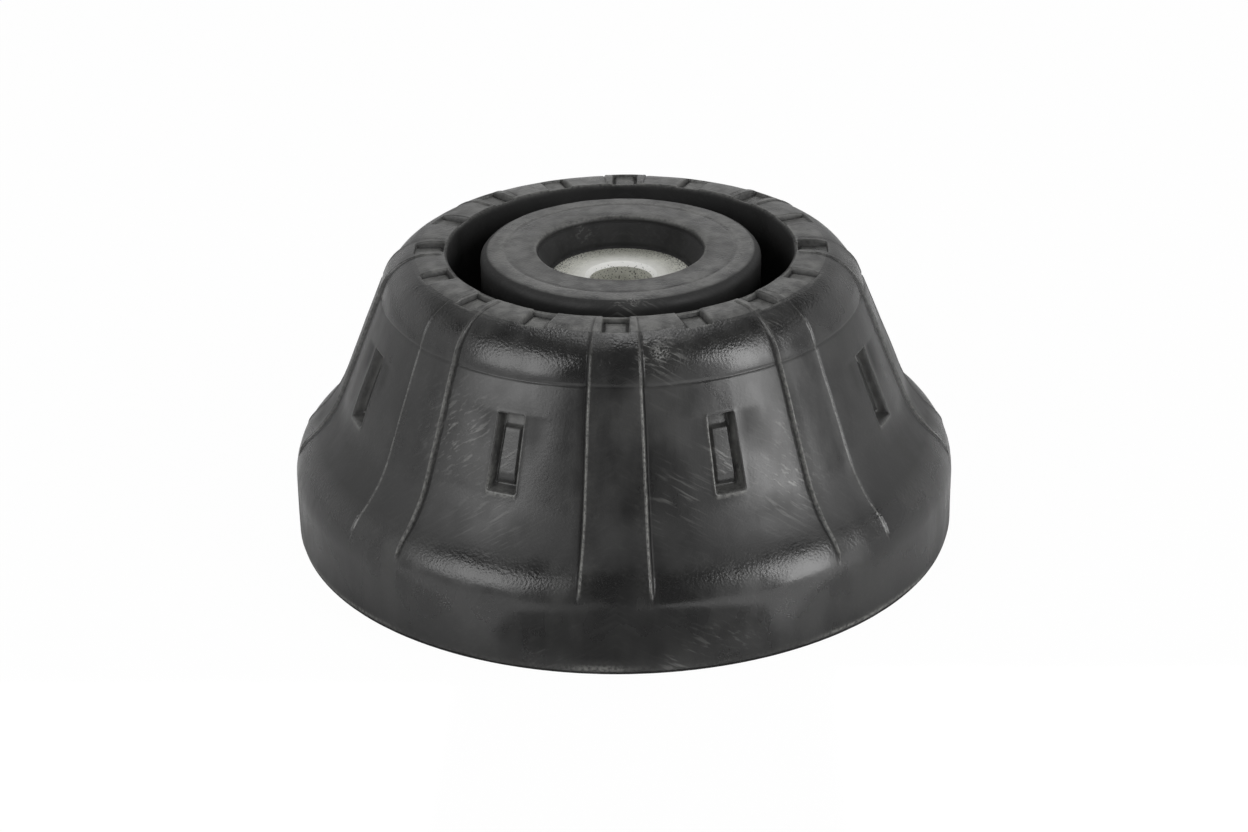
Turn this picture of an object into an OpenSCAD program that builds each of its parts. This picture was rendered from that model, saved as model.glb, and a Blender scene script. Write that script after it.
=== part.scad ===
// Strut mount: a bonded rubber and steel top mount for a suspension strut.
// The axis is Z, the skirt's foot stands on Z = 0 and one raised strip faces -Y.

/* [Steel core] */
// Diameter of the hole for the piston rod
rod_bore_d = 12.2; // [9:0.1:14]
// Width of the chamfer at both ends of the rod hole
bore_chamfer = 0.8; // [0.3:0.1:1.5]
// Outer diameter of the core's hub
hub_d = 27.4; // [24:0.2:32]
// Diameter of the flange that the bearing bears on
flange_d = 60; // [46:1:70]
// Thickness of that flange
flange_t = 4; // [2.5:0.5:6]

/* [Buffer ring] */
// Rubber wall from the hub to the outside of the buffer ring
buffer_w = 13.4; // [11:0.2:16]
// How far the buffer ring's top stays below the top ring
buffer_drop = 0.1; // [0:0.1:2]
// Depth of the nut recess, from the buffer ring's top to the core
nut_recess_depth = 5.9; // [4:0.1:9]
// How far the recess is wider than the hub at its mouth
recess_flare = 2.7; // [1:0.1:4]
// Rounding of the buffer ring's outer edge
buffer_round_r = 2; // [1:0.25:4]
// Rounding of the recess's mouth
mouth_round_r = 0.8; // [0.3:0.1:1.5]

/* [Travel gap] */
// Width of the gap round the buffer ring
gap_w = 6.4; // [5:0.2:9]
// Depth of the gap, below the top ring
gap_depth = 22; // [12:1:26]

/* [Top ring] */
// Height of the top ring above the foot
ring_h = 56.8; // [50:0.2:64]
// Width of the top ring, from the opening to where it would meet the cone
ring_w = 9.9; // [8.5:0.1:14]
// Rounding of the top ring's inner edge
rim_round_r = 0.6; // [0.2:0.1:1]
// Width of the thin lip between a notch and the opening
lip_w = 0.7; // [0.4:0.1:1.2]
// How far the lip lies below the top ring
lip_drop = 0.3; // [0.2:0.1:0.5]
// Number of notches in the top ring for each raised strip
notches_per_strip = 2; // [1:1:3]
// Width of a notch
notch_w = 5; // [3:0.1:6]
// Length of a notch, outwards from the lip
notch_len = 5.6; // [3:0.1:6.5]
// Depth of a notch
notch_depth = 1; // [0.6:0.1:2]
// Rounding between the top ring and the cone
top_round_r = 10; // [6:0.5:11]

/* [Cone and skirt] */
// Angle between the cone and the axis
cone_angle = 22.1; // [15:0.1:28]
// Height of the corner between skirt and ledge
skirt_h = 16.1; // [12:0.1:20]
// Rounding of that corner
skirt_round_r = 10; // [5:0.5:11]
// Width of the ledge between skirt and cone
ledge_w = 8.1; // [6:0.1:11]
// Rise of the ledge
ledge_h = 7; // [6:0.1:9]
// Rounding of the hollow between ledge and cone
flare_r = 20; // [6:0.5:24]
// Height of the narrower foot below the skirt
foot_h = 0.6; // [0.3:0.1:1.5]
// How far the foot is set back from the skirt
foot_inset = 0.2; // [0.1:0.1:1.5]

/* [Strips and windows] */
// Number of raised strips, and of windows between them
strip_count = 8; // [4:1:10]
// Half of the angle that a strip covers
strip_half_angle = 5.85; // [4:0.05:8]
// How far a strip stands out of the cone
strip_proud = 0.45; // [0.2:0.05:0.8]
// How far a strip stands out of the top ring
strip_ring_proud = 0.15; // [0.05:0.05:0.4]
// Angle that a window covers
window_angle = 5.9; // [4:0.1:9]
// Height of a window
window_h = 13; // [8:0.5:15]
// Height of a window's sill above the foot of the cone
window_rise = 6.5; // [4:0.5:9]
// Depth of a window, straight inwards
window_depth = 2.4; // [1.2:0.1:4]
// How far the pad on a window's floor stands up
pad_proud = 0.7; // [0.3:0.1:1]
// Clear width between that pad and the window's sides and sill
pad_clear = 0.8; // [0.5:0.1:1.2]
// Clear height between the pad and the window's head
pad_drop = 2.6; // [1:0.1:4]

/* [Underside] */
// Depth of the recess under the mount
recess_depth = 18; // [12:0.5:20]
// Width of the flat rim that the mount stands on
rim_w = 19; // [12:0.5:22]
// Draft angle of the recess's wall
recess_draft = 12; // [4:1:20]
// Rounding between the recess's wall and its ceiling
recess_round_r = 3; // [1:0.5:5]

/* [Hidden] */
$fn = 96;
arc_steps = 8;
// Overlap that lets a cut or a strip pass a face
pass = 1;

// Radii, built outwards from the rod hole
bore_r = rod_bore_d / 2;
hub_r = hub_d / 2;
flange_r = flange_d / 2;
mouth_r = hub_r + recess_flare;
buffer_r = hub_r + buffer_w;
opening_r = buffer_r + gap_w;
notch_r = opening_r + lip_w;
ring_r = opening_r + ring_w;

// Levels
cone_foot_h = skirt_h + ledge_h;
buffer_top_h = ring_h - buffer_drop;
core_top_h = buffer_top_h - nut_recess_depth;
gap_floor_h = ring_h - gap_depth;
flange_top_h = recess_depth + flange_t;

// Foot of the cone, skirt and recess
cone_foot_r = ring_r + (ring_h - cone_foot_h) * tan(cone_angle);
skirt_r = cone_foot_r + ledge_w;
foot_r = skirt_r - foot_inset;
recess_mouth_r = skirt_r - rim_w;
recess_top_r = recess_mouth_r - recess_depth * tan(recess_draft);

// Strips and windows
strip_pitch = 360 / strip_count;
notch_count = strip_count * notches_per_strip;
notch_pitch = 360 / notch_count;
ledge_angle = atan2(ledge_w, ledge_h);
window_sill_h = cone_foot_h + window_rise;
window_head_h = window_sill_h + window_h;
pad_sill_h = window_sill_h + pad_clear;
pad_head_h = window_head_h - pad_drop;

function unit(v) = v / norm(v);

function turned(v, angle) =
    [v.x * cos(angle) - v.y * sin(angle), v.x * sin(angle) + v.y * cos(angle)];

// Points of the arc of the given radius that rounds the corner at
function round_corner(before, at, after, radius) =
    let (
        back = unit(before - at),
        ahead = unit(after - at),
        half = acos(back * ahead) / 2,
        centre = at + unit(back + ahead) * radius / sin(half),
        start = at + back * radius / tan(half) - centre,
        sweep = (180 - 2 * half) * (cross(back, ahead) < 0 ? 1 : -1)
    )
    [for (i = [0 : arc_steps]) centre + turned(start, sweep * i / arc_steps)];

// Radius of the bare cone at a height
function cone_r(height) = ring_r + (ring_h - height) * tan(cone_angle);

// Corners of a strip: the cone's line moved outwards, run out into the skirt's rounding
strip_out = strip_proud / cos(cone_angle);
ledge_out = strip_proud / cos(ledge_angle);
strip_foot_r = skirt_r - strip_proud;
strip_corner = [strip_foot_r, skirt_h + (strip_proud + ledge_out) * ledge_h / ledge_w];
strip_bend_h = cone_foot_h + (ledge_out - strip_out) / (tan(ledge_angle) - tan(cone_angle));
strip_bend = [cone_r(strip_bend_h) + strip_out, strip_bend_h];
strip_top_h = ring_h + strip_ring_proud;
strip_top = [cone_r(strip_top_h) + strip_out, strip_top_h];

// Rounding of the hollow, as far as a strip's ledge has room for it beside the skirt's rounding
ledge_room = norm(strip_corner - strip_bend) - skirt_round_r * tan(ledge_angle / 2);
hollow_r = min(flare_r, ledge_room / tan((ledge_angle - cone_angle) / 2));

// Outside of the rubber, from the skirt up to the top ring
skirt_corner = [skirt_r, skirt_h];
cone_foot = [cone_foot_r, cone_foot_h];
ring_corner = [ring_r, ring_h];
outer_line = concat(
    [[skirt_r, foot_h]],
    round_corner([skirt_r, foot_h], skirt_corner, cone_foot, skirt_round_r),
    round_corner(skirt_corner, cone_foot, ring_corner, hollow_r),
    round_corner(cone_foot, ring_corner, [opening_r, ring_h], top_round_r)
);

// Floor of the travel gap, a half round from the opening's wall to the buffer ring
gap_centre = [opening_r - gap_w / 2, gap_floor_h + gap_w / 2];
gap_floor = [
    for (i = [0 : 2 * arc_steps]) gap_centre + turned([gap_w / 2, 0], -90 * i / arc_steps)
];

// Rim, travel gap and buffer ring, from the opening in to the core
inner_line = concat(
    round_corner(ring_corner, [opening_r, ring_h], [opening_r, gap_floor_h], rim_round_r),
    gap_floor,
    round_corner([buffer_r, gap_floor_h], [buffer_r, buffer_top_h], [mouth_r, buffer_top_h], buffer_round_r),
    round_corner([buffer_r, buffer_top_h], [mouth_r, buffer_top_h], [hub_r, core_top_h], mouth_round_r),
    [[hub_r, core_top_h]]
);

// Seat of the core, recess and foot
under_line = concat(
    [[hub_r, flange_top_h], [flange_r, flange_top_h], [flange_r, recess_depth]],
    round_corner([flange_r, recess_depth], [recess_top_r, recess_depth], [recess_mouth_r, 0], recess_round_r),
    [[recess_mouth_r, 0], [foot_r, 0], [foot_r, foot_h]]
);

// Section of a strip
strip_line = concat(
    round_corner([strip_foot_r, foot_h], strip_corner, strip_bend, skirt_round_r),
    round_corner(strip_corner, strip_bend, strip_top, hollow_r),
    round_corner(strip_bend, strip_top, [notch_r, strip_top_h], top_round_r),
    [
        [notch_r, strip_top_h],
        [notch_r, ring_h - pass],
        [cone_foot_r - pass, cone_foot_h],
        [strip_foot_r - pass, skirt_h - skirt_round_r]
    ]
);

// A section turned through an angle, centred on -Y
module sector(angle, line) {
    rotate([0, 0, -90 - angle / 2])
        rotate_extrude(angle = angle)
            polygon(line);
}

// Section between two lines along the cone, each given by its distance from the cone
function along_cone(low_h, high_h, inner, outer) = [
    [cone_r(low_h) + inner, low_h],
    [cone_r(low_h) + outer, low_h],
    [cone_r(high_h) + outer, high_h],
    [cone_r(high_h) + inner, high_h]
];

// Cutter for one window, centred on -Y, with a hollow that leaves the pad on its floor
module window_cutter() {
    pad_r = cone_r(pad_head_h) - window_depth;
    pad_angle = window_angle - 2 * asin(pad_clear / pad_r);
    difference() {
        sector(window_angle, along_cone(window_sill_h, window_head_h, -window_depth, pass));
        sector(pad_angle, along_cone(pad_sill_h, pad_head_h, -window_depth - pass, pad_proud - window_depth));
    }
}

// Cutter for one notch in the top ring, centred on -Y: a pocket, and the slot above its lip
module notch_cutter() {
    notch_end_r = notch_r + notch_len;
    rotate([90, 0, -90])
        translate([0, 0, -notch_w / 2])
            linear_extrude(notch_w)
                polygon([
                    [opening_r - pass, ring_h - lip_drop],
                    [notch_r, ring_h - lip_drop],
                    [notch_r, ring_h - notch_depth],
                    [notch_end_r, ring_h - notch_depth],
                    [notch_end_r, ring_h + pass],
                    [opening_r - pass, ring_h + pass]
                ]);
}

// The moulded rubber body
module rubber_insulator() {
    color([0.13, 0.13, 0.13])
        difference() {
            union() {
                rotate_extrude() polygon(concat(outer_line, inner_line, under_line));
                for (i = [0 : strip_count - 1])
                    rotate([0, 0, i * strip_pitch])
                        sector(2 * strip_half_angle, strip_line);
            }
            for (i = [0 : strip_count - 1]) rotate([0, 0, (i + 0.5) * strip_pitch]) window_cutter();
            for (i = [0 : notch_count - 1]) rotate([0, 0, i * notch_pitch]) notch_cutter();
        }
}

// The zinc-plated bush bonded into the rubber, with its bearing flange
module steel_core() {
    color([0.72, 0.72, 0.68])
        rotate_extrude()
            polygon([
                [bore_r + bore_chamfer, recess_depth],
                [flange_r, recess_depth],
                [flange_r, flange_top_h],
                [hub_r, flange_top_h],
                [hub_r, core_top_h],
                [bore_r + bore_chamfer, core_top_h],
                [bore_r, core_top_h - bore_chamfer],
                [bore_r, recess_depth + bore_chamfer]
            ]);
}

rubber_insulator();
steel_core();
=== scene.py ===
"""Strut mount: a moulded rubber insulator bonded to a zinc-plated steel core."""
import logging
import math
from dataclasses import dataclass
from enum import Enum

import bpy
import numpy as np
from mathutils import Matrix, Vector


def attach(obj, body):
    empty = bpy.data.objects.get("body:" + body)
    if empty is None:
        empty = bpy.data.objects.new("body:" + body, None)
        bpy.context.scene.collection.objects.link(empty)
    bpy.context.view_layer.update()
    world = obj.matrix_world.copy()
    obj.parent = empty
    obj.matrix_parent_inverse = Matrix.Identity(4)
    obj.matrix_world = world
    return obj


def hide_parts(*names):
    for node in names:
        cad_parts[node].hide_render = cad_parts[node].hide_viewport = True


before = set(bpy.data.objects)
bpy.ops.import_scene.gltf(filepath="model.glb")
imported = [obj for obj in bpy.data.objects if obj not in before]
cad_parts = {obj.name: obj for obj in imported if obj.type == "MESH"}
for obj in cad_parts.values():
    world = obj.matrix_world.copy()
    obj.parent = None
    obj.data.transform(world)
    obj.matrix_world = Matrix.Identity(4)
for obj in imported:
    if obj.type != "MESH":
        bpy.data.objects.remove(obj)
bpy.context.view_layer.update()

log = logging.getLogger("strut_mount")

# Metres in a millimetre: sizes below are in millimetres, meshes in metres
MM = 0.001
# Width of the picture that the camera was fitted to, in pixels
IMAGE_WIDTH = 1248
# Spans of a section that are shorter than this run level
LEVEL_SPAN = 1e-6
# Share of a span, at each of its ends, that gets no added grid line
END_SHARE = 0.02

# Kinds of node that are used often, and their settings
MATH = "ShaderNodeMath"
VECTOR = "ShaderNodeVectorMath"
NOISE = "ShaderNodeTexNoise"
RAMP = "ShaderNodeMapRange"
MIX = "ShaderNodeMix"
COLOURS = {"data_type": "RGBA"}
MULTIPLY = {"operation": "MULTIPLY"}
MULTIPLY_ADD = {"operation": "MULTIPLY_ADD"}
MAXIMUM = {"operation": "MAXIMUM"}
# Sockets of a Mix node that mixes colours: share, first colour, second colour and result
SHARE, FIRST, SECOND, MIXED = 0, 6, 7, 2


class Zone(Enum):
    """Part of the insulator's section that a grid line lies on."""

    OUTSIDE = 1
    OPENING = 2
    BUFFER = 3
    BOND = 4
    UNDERSIDE = 5


def linear(colour: str) -> tuple[float, float, float, float]:
    """Turns an sRGB hex colour into linear values.

    Args:
        colour: The colour, as "#rrggbb".

    Returns:
        Red, green, blue and alpha for a node socket.
    """
    parts = [int(colour[i:i + 2], 16) / 255 for i in (1, 3, 5)]
    red, green, blue = [p / 12.92 if p <= 0.04045 else ((p + 0.055) / 1.055) ** 2.4 for p in parts]
    return red, green, blue, 1.0


def per_mm(size: float) -> float:
    """Gives the scale of a texture on metre coordinates whose features are size millimetres wide."""
    return 1 / (size * MM)


def add(
    tree: bpy.types.NodeTree, kind: str, settings: dict | None = None, feeds: dict | None = None
) -> bpy.types.Node:
    """Adds a node with its settings and links.

    Args:
        tree: The node tree that it goes into.
        kind: Blender's name for the kind of node.
        settings: The node's properties, by name.
        feeds: What goes into its sockets, by name or place: a value, or a socket to link.

    Returns:
        The new node.
    """
    node = tree.nodes.new(kind)
    for name, value in (settings or {}).items():
        setattr(node, name, value)
    for place, value in (feeds or {}).items():
        if isinstance(value, bpy.types.NodeSocket):
            tree.links.new(value, node.inputs[place])
        else:
            node.inputs[place].default_value = value
    return node


def smooth(start: float, end: float, value: np.ndarray) -> np.ndarray:
    """Rises smoothly from 0 at start to 1 at end.

    Args:
        start: Where the rise begins.
        end: Where it is complete.
        value: The places to look at.

    Returns:
        The height of the rise at each place.
    """
    share = np.clip((value - start) / (end - start), 0, 1)
    return share * share * (3 - 2 * share)


def bead(distance: np.ndarray, width: float) -> np.ndarray:
    """Gives the height of a soft bead of unit height, by the distance from its middle."""
    return np.exp(-(distance / width) ** 2)


@dataclass(frozen=True)
class Rise:
    """A smooth rise from 0 to 1 between two values."""

    start: float
    end: float

    def at(self, value: np.ndarray) -> np.ndarray:
        """Gives the height of the rise at given values."""
        return smooth(self.start, self.end, value)


@dataclass(frozen=True)
class Band:
    """A smooth rise from 0 to 1 that falls again further on."""

    start: float
    full: float
    fade: float
    end: float

    def at(self, value: np.ndarray) -> np.ndarray:
        """Gives the height of the band at given values."""
        return smooth(self.start, self.full, value) * (1 - smooth(self.fade, self.end, value))


@dataclass(frozen=True)
class Line:
    """A soft line beside an edge: how far from it, how wide and how strong."""

    away: float
    width: float
    strength: float = 1.0

    def at(self, distance: np.ndarray) -> np.ndarray:
        """Gives the line's strength at given distances from the edge."""
        return self.strength * bead(distance - self.away, self.width)


@dataclass(frozen=True)
class Ramp:
    """A straight rise in a material: where it starts and ends, and what it gives there."""

    start: float
    end: float
    low: float = 0.0
    high: float = 1.0

    def feeds(self, value: bpy.types.NodeSocket) -> dict:
        """Gives what goes into a Map Range node's sockets."""
        ends = {"From Min": self.start, "From Max": self.end, "To Min": self.low, "To Max": self.high}
        return {"Value": value} | ends


def round_corner(before: tuple, at: tuple, after: tuple, radius: float, steps: int) -> list[np.ndarray]:
    """Rounds one corner of a section.

    Args:
        before: A point on the line that runs into the corner.
        at: The corner.
        after: A point on the line that leaves it.
        radius: Radius of the rounding.
        steps: Number of straight pieces in the arc.

    Returns:
        The points of the arc, in order.
    """
    before, at, after = (np.array(p, float) for p in (before, at, after))
    back = (before - at) / np.linalg.norm(before - at)
    ahead = (after - at) / np.linalg.norm(after - at)
    half = math.acos(np.clip(back @ ahead, -1, 1)) / 2
    centre = at + (back + ahead) / np.linalg.norm(back + ahead) * radius / math.sin(half)
    start = at + back * radius / math.tan(half) - centre
    turn = math.pi - 2 * half
    if back[0] * ahead[1] - back[1] * ahead[0] > 0:
        turn = -turn
    points = []
    for i in range(steps + 1):
        angle = turn * i / steps
        cos, sin = math.cos(angle), math.sin(angle)
        points.append(centre + np.array([start[0] * cos - start[1] * sin, start[0] * sin + start[1] * cos]))
    return points


def with_levels(line: list, axis: int, levels: list[float]) -> list[np.ndarray]:
    """Adds points to a line where it crosses given levels.

    Args:
        line: The points of the line, in order.
        axis: 0 for levels of radius, 1 for levels of height.
        levels: The levels.

    Returns:
        The line with the added points.
    """
    points = [np.array(line[0], float)]
    for start, end in zip(line[:-1], line[1:]):
        start, end = np.array(start, float), np.array(end, float)
        span = end[axis] - start[axis]
        if abs(span) > LEVEL_SPAN:
            shares = sorted((level - start[axis]) / span for level in levels)
            points += [start + (end - start) * s for s in shares if END_SHARE < s < 1 - END_SHARE]
        points.append(end)
    return points


class SectorRing:
    """Geometry Nodes tree that repeats a sector round the axis, welds it and works its skin."""

    def __init__(self) -> None:
        """Builds the tree, with its sizes as named inputs."""
        self.tree = bpy.data.node_groups.new("sector_ring", "GeometryNodeTree")
        self.sockets = {}
        for name, kind in (
            ("Sector", "Geometry"),
            ("Count", "Int"),
            ("Weld", "Float"),
            ("Wobble", "Float"),
            ("Wobble scale", "Float"),
            ("Flash height", "Float"),
            ("Flash scale", "Float"),
            ("Seed", "Float"),
            ("Finish", "Material"),
        ):
            socket = self.tree.interface.new_socket(name, in_out="INPUT", socket_type="NodeSocket" + kind)
            self.sockets[name] = socket.identifier
        self.tree.interface.new_socket("Ring", in_out="OUTPUT", socket_type="NodeSocketGeometry")
        self._link()

    def _link(self) -> None:
        """Adds and links the tree's nodes."""
        tree = self.tree
        given = add(tree, "NodeGroupInput").outputs
        places = add(
            tree,
            "GeometryNodeMeshLine",
            {"mode": "OFFSET"},
            {"Count": given["Count"], "Offset": (0, 0, 0)},
        ).outputs[0]
        step = add(tree, MATH, {"operation": "DIVIDE"}, {0: 2 * math.pi, 1: given["Count"]}).outputs[0]
        index = add(tree, "GeometryNodeInputIndex").outputs[0]
        turn = add(tree, MATH, MULTIPLY, {0: index, 1: step}).outputs[0]
        euler = add(tree, "ShaderNodeCombineXYZ", None, {"Z": turn}).outputs[0]
        turned = add(tree, "FunctionNodeEulerToRotation", None, {0: euler}).outputs[0]
        copies = add(
            tree,
            "GeometryNodeInstanceOnPoints",
            None,
            {"Points": places, "Instance": given["Sector"], "Rotation": turned},
        ).outputs[0]
        real = add(tree, "GeometryNodeRealizeInstances", None, {0: copies}).outputs[0]
        weld = add(
            tree, "GeometryNodeMergeByDistance", None, {"Geometry": real, "Distance": given["Weld"]}
        ).outputs[0]

        # The skin wanders a little everywhere, and its flash stands up unevenly
        marks = {}
        for name in ("skin", "flash"):
            mark = add(tree, "GeometryNodeInputNamedAttribute", {"data_type": "FLOAT"}, {"Name": name})
            marks[name] = mark.outputs[0]
        place = add(tree, "GeometryNodeInputPosition").outputs[0]
        noises = {}
        for name in ("Wobble scale", "Flash scale"):
            feeds = {"Vector": place, "W": given["Seed"], "Scale": given[name], "Detail": 2.0}
            noises[name] = add(tree, NOISE, {"noise_dimensions": "4D"}, feeds).outputs
        wander = noises["Wobble scale"]["Color"]
        centred = add(tree, VECTOR, {"operation": "SUBTRACT"}, {0: wander, 1: (0.5, 0.5, 0.5)}).outputs[0]
        reach = add(tree, MATH, MULTIPLY, {0: given["Wobble"], 1: marks["skin"]}).outputs[0]
        drift = add(tree, VECTOR, {"operation": "SCALE"}, {0: centred, "Scale": reach}).outputs[0]
        rise = add(tree, MATH, MULTIPLY, {0: noises["Flash scale"][0], 1: marks["flash"]}).outputs[0]
        height = add(tree, MATH, MULTIPLY, {0: rise, 1: given["Flash height"]}).outputs[0]
        normal = add(tree, "GeometryNodeInputNormal").outputs[0]
        ridge = add(tree, VECTOR, {"operation": "SCALE"}, {0: normal, "Scale": height}).outputs[0]
        offset = add(tree, VECTOR, {"operation": "ADD"}, {0: drift, 1: ridge}).outputs[0]
        worked = add(tree, "GeometryNodeSetPosition", None, {"Geometry": weld, "Offset": offset}).outputs[0]
        shaded = add(tree, "GeometryNodeSetShadeSmooth", None, {"Geometry": worked}).outputs[0]
        dressed = add(
            tree, "GeometryNodeSetMaterial", None, {"Geometry": shaded, "Material": given["Finish"]}
        ).outputs[0]
        add(tree, "NodeGroupOutput", None, {0: dressed})

    def make(self, name: str, sector: bpy.types.Mesh, sizes: dict) -> bpy.types.Object:
        """Turns one sector into a whole piece with a plain mesh.

        Args:
            name: Name of the piece.
            sector: Mesh of the sector, which starts at -Y.
            sizes: Values for the tree's inputs, by name.

        Returns:
            The piece, linked to the scene.
        """
        piece = bpy.data.objects.new(name, sector)
        bpy.context.scene.collection.objects.link(piece)
        modifier = piece.modifiers.new("sector_ring", "NODES")
        modifier.node_group = self.tree
        for label, value in sizes.items():
            modifier[self.sockets[label]] = value
        bpy.context.view_layer.update()
        whole = bpy.data.meshes.new_from_object(piece.evaluated_get(bpy.context.evaluated_depsgraph_get()))
        whole.name = name
        piece.modifiers.remove(modifier)
        piece.data = whole
        bpy.data.meshes.remove(sector)
        return piece


def sector_mesh(name: str, points: np.ndarray, attributes: dict[str, np.ndarray]) -> bpy.types.Mesh:
    """Builds the mesh of a sector from a grid that closes along the section.

    Args:
        name: Name of the mesh.
        points: Places in metres, by line along the section, line round the axis and axis.
        attributes: Numbers for each point, by name.

    Returns:
        The mesh, with its faces outwards.
    """
    rows, columns = points.shape[:2]
    row = np.arange(rows)[:, None]
    column = np.arange(columns - 1)[None, :]
    here = row * columns + column
    ahead = (row + 1) % rows * columns + column
    faces = np.stack([here, here + 1, ahead + 1, ahead], -1).reshape(-1, 4)
    mesh = bpy.data.meshes.new(name)
    mesh.from_pydata(points.reshape(-1, 3).tolist(), [], faces.tolist())
    for label, values in attributes.items():
        layer = mesh.attributes.new(label, "FLOAT", "POINT")
        layer.data.foreach_set("value", np.ascontiguousarray(values, np.float32).ravel())
    mesh.update()
    return mesh


def turned_points(radius: np.ndarray, height: np.ndarray, angle: np.ndarray) -> np.ndarray:
    """Places points round the axis.

    Args:
        radius: Distance from the axis, in millimetres.
        height: Height above the foot, in millimetres.
        angle: Angle from -Y towards +X, in radians.

    Returns:
        The points, in metres.
    """
    return np.stack([radius * np.sin(angle), -radius * np.cos(angle), height], -1) * MM


@dataclass(frozen=True)
class MouldedRubber:
    """Natural rubber with carbon black, moulded under pressure in a steel tool.

    To the eye it is a near-black satin skin that breaks up a highlight into grain, with a faint grey bloom of
    wax in clouds, dust on level faces, pale ragged flash at the tool's joints and grey scuffs. Highlights are
    painted pale along some rims and edges, and shade is painted as a deeper black in recesses, gaps, creases,
    grooves and at the foot. The grain is drawn coarser than it is, so that it shows.
    """

    black: str = "#1f1f1f"
    # Deep black laid where the skin is marked dull: painted shade in recesses, gaps, creases, grooves, moats,
    # sinks and at the foot
    deep: str = "#121212"
    bloom: str = "#3d3d3c"
    dust: str = "#6a6a68"
    # Pale colour of ragged flash, also laid as painted highlights along rims and edges
    flash_and_highlight: str = "#7a7a77"
    scuffed: str = "#7c7c7a"
    ior: float = 1.52
    dulling: float = 0.45
    cloud_mm: float = 15.0
    smear_mm: float = 5.0
    smear_stretch: float = 0.4
    grain_mm: float = 0.48
    peel_mm: float = 2.6
    peel_share: float = 0.12
    scratch_mm: float = 0.65
    scratch_middle: float = 0.5
    stroke_mm: float = 0.6
    stroke_stretch: float = 10.0
    stroke_slant: float = 60.0
    scuff_rise: float = 0.8
    bump: float = 0.45
    bump_mm: float = 0.1
    haze: Ramp = Ramp(0.17, 0.4, 0.0, 0.45)
    gloss: Ramp = Ramp(0.12, 0.4, 0.24, 0.46)
    thinning: Ramp = Ramp(0.3, 0.65, 0.3, 1.0)
    patches: Ramp = Ramp(0.35, 0.65, 0.5, 1.5)
    worms: Ramp = Ramp(0.02, 0.06, 1.0, 0.0)
    strokes: Ramp = Ramp(0.54, 0.68, 0.1, 0.9)
    hard_rub: Ramp = Ramp(0.7, 1.0)
    tearing: Ramp = Ramp(0.35, 0.6, 0.2, 1.0)

    def material(self) -> bpy.types.Material:
        """Builds the material.

        Returns:
            The rubber's material.
        """
        rubber = bpy.data.materials.new("moulded_rubber")
        rubber.use_nodes = True
        tree = rubber.node_tree
        shader = tree.nodes["Principled BSDF"]
        shader.inputs["IOR"].default_value = self.ior
        place = add(tree, "ShaderNodeTexCoord").outputs["Object"]
        marks = {}
        for name in ("flash", "scuff", "matt_and_painted_shade", "dust", "grain"):
            marks[name] = add(tree, "ShaderNodeAttribute", {"attribute_name": name}).outputs["Fac"]
        noises = self._noises(tree, place)

        # Bloom lies where clouds and smears agree
        both = add(tree, MATH, MULTIPLY, {0: noises["cloud"], 1: noises["smear"]}).outputs[0]
        haze = add(tree, RAMP, None, self.haze.feeds(both)).outputs[0]

        # Dust is wiped thin in smears, and patchy
        thin = add(tree, RAMP, None, self.thinning.feeds(noises["smear"])).outputs[0]
        patchy = add(tree, RAMP, None, self.patches.feeds(noises["peel"])).outputs[0]
        lying = add(tree, MATH, MULTIPLY, {0: marks["dust"], 1: thin}).outputs[0]
        settled = add(tree, MATH, MULTIPLY, {0: lying, 1: patchy}).outputs[0]

        # Scuffs are slanted strokes where the part was rubbed, and wormy lines where it was rubbed hard
        level = {0: noises["scratch"], 1: self.scratch_middle}
        level = add(tree, MATH, {"operation": "SUBTRACT"}, level).outputs[0]
        apart = add(tree, MATH, {"operation": "ABSOLUTE"}, {0: level}).outputs[0]
        worms = add(tree, RAMP, None, self.worms.feeds(apart)).outputs[0]
        hard = add(tree, RAMP, None, self.hard_rub.feeds(marks["scuff"])).outputs[0]
        deep = add(tree, MATH, MULTIPLY, {0: worms, 1: hard}).outputs[0]
        strokes = add(tree, RAMP, None, self.strokes.feeds(noises["stroke"])).outputs[0]
        scratches = add(tree, MATH, MAXIMUM, {0: deep, 1: strokes}).outputs[0]
        rubbed = add(tree, MATH, MULTIPLY, {0: marks["scuff"], 1: scratches}).outputs[0]

        # Pale flash and painted highlights are uneven along their length
        uneven = add(tree, RAMP, None, self.tearing.feeds(noises["scratch"])).outputs[0]
        flash_and_highlight = add(tree, MATH, MULTIPLY, {0: marks["flash"], 1: uneven}).outputs[0]
        # Layers below: the deep black is painted shade, and the pale flash colour also carries painted
        # highlights
        colour = linear(self.black)
        for share, over in (
            (haze, self.bloom),
            (marks["matt_and_painted_shade"], self.deep),
            (settled, self.dust),
            (rubbed, self.scuffed),
            (flash_and_highlight, self.flash_and_highlight),
        ):
            layers = {SHARE: share, FIRST: colour, SECOND: linear(over)}
            colour = add(tree, MIX, COLOURS, layers).outputs[MIXED]

        gloss = add(tree, RAMP, None, self.gloss.feeds(both)).outputs[0]
        dull = add(tree, MATH, MULTIPLY_ADD, {0: marks["matt_and_painted_shade"], 1: self.dulling, 2: gloss}).outputs[0]
        tooth = {0: noises["peel"], 1: self.peel_share, 2: noises["grain"]}
        tooth = add(tree, MATH, MULTIPLY_ADD, tooth).outputs[0]
        bumps = add(tree, MATH, MULTIPLY, {0: tooth, 1: marks["grain"]}).outputs[0]
        raised = add(tree, MATH, MULTIPLY_ADD, {0: rubbed, 1: self.scuff_rise, 2: bumps}).outputs[0]
        relief = {"Strength": self.bump, "Distance": self.bump_mm * MM, "Height": raised}
        relief = add(tree, "ShaderNodeBump", None, relief).outputs[0]
        tree.links.new(colour, shader.inputs["Base Color"])
        tree.links.new(dull, shader.inputs["Roughness"])
        tree.links.new(relief, shader.inputs["Normal"])
        return rubber

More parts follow.
